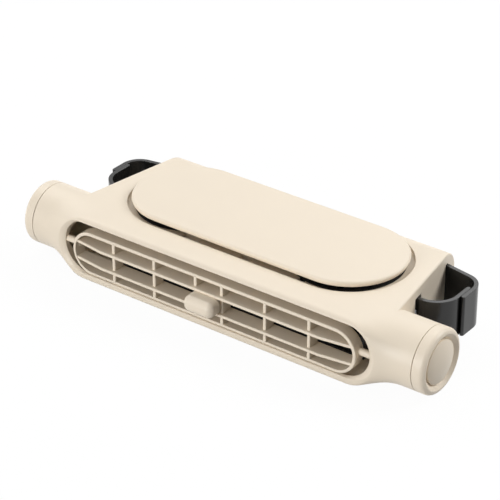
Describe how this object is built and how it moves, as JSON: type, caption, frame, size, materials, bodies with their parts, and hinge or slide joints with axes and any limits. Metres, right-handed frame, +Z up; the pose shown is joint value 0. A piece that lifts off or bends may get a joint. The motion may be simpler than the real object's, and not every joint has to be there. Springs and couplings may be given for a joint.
{
  "type": "car seat fan",
  "caption": "Headrest fan with a tube-shaped front, a tilting louver outlet, a raised top intake plate, an end button and spring clips at both sides.",
  "frame": {"origin": "on the underside, below the middle of the intake plate", "axes": "+X along the tube towards the button end, +Y to the rear, +Z up; the outlet faces -Y"},
  "size_m": [0.2296, 0.0933, 0.0369],
  "materials": {
    "cream_plastic": "fine satin",
    "black_plastic": "semi-gloss",
    "dark_plastic": "matte",
    "steel": "bright",
    "board": "satin"
  },
  "bodies": {
    "fan_body": {"housing_shell": "cream_plastic", "bottom_cover": "cream_plastic", "cover_screws": "steel", "intake_grilles": "dark_plastic", "intake_cover": "cream_plastic", "end_cap_right": "cream_plastic", "end_cap_left": "cream_plastic", "control_board": "board", "power_switch": "dark_plastic", "usb_inlet": "steel", "inlet_board": "board", "clip_hook_right": "black_plastic", "clip_hook_left": "black_plastic", "gate_pins": "steel", "gate_spring_right": "steel", "gate_spring_left": "steel", "motor_right": "steel", "motor_left": "steel", "scroll_duct": "dark_plastic"},
    "louver": {"louver_frame": "cream_plastic", "louver_tab": "cream_plastic"},
    "button": {"power_button": "cream_plastic"},
    "gate_right": {"clip_gate_right": "black_plastic"},
    "gate_left": {"clip_gate_left": "black_plastic"},
    "rotor_right": {"blower_wheel_right": "dark_plastic", "motor_shaft_right": "steel"},
    "rotor_left": {"blower_wheel_left": "dark_plastic", "motor_shaft_left": "steel"}
  },
  "joints": [
    {"name": "louver_tilt", "type": "hinge", "parent": "fan_body", "child": "louver", "pos_m": [0, -0.0415, 0.0177], "axis": [1, 0, 0], "range_deg": [-25, 25]},
    {"name": "button_press", "type": "slide", "parent": "fan_body", "child": "button", "axis": [-1, 0, 0], "range_m": [0, 0.0008], "stiffness_N_per_m": 600, "springref_m": -0.001},
    {"name": "gate_right_swing", "type": "hinge", "parent": "fan_body", "child": "gate_right", "pos_m": [0.08309, -0.0038, 0.018], "axis": [0, 0, 1], "range_deg": [0, 30], "stiffness_Nm_per_rad": 0.1, "springref_deg": -11.46},
    {"name": "gate_left_swing", "type": "hinge", "parent": "fan_body", "child": "gate_left", "pos_m": [-0.08309, -0.0038, 0.018], "axis": [0, 0, -1], "range_deg": [0, 30], "stiffness_Nm_per_rad": 0.1, "springref_deg": -11.46},
    {"name": "rotor_right_spin", "type": "hinge", "parent": "fan_body", "child": "rotor_right", "pos_m": [0.04537, 0, 0.015], "axis": [0, 0, 1], "continuous": true},
    {"name": "rotor_left_spin", "type": "hinge", "parent": "fan_body", "child": "rotor_left", "pos_m": [-0.04537, 0, 0.015], "axis": [0, 0, 1], "continuous": true}
  ]
}
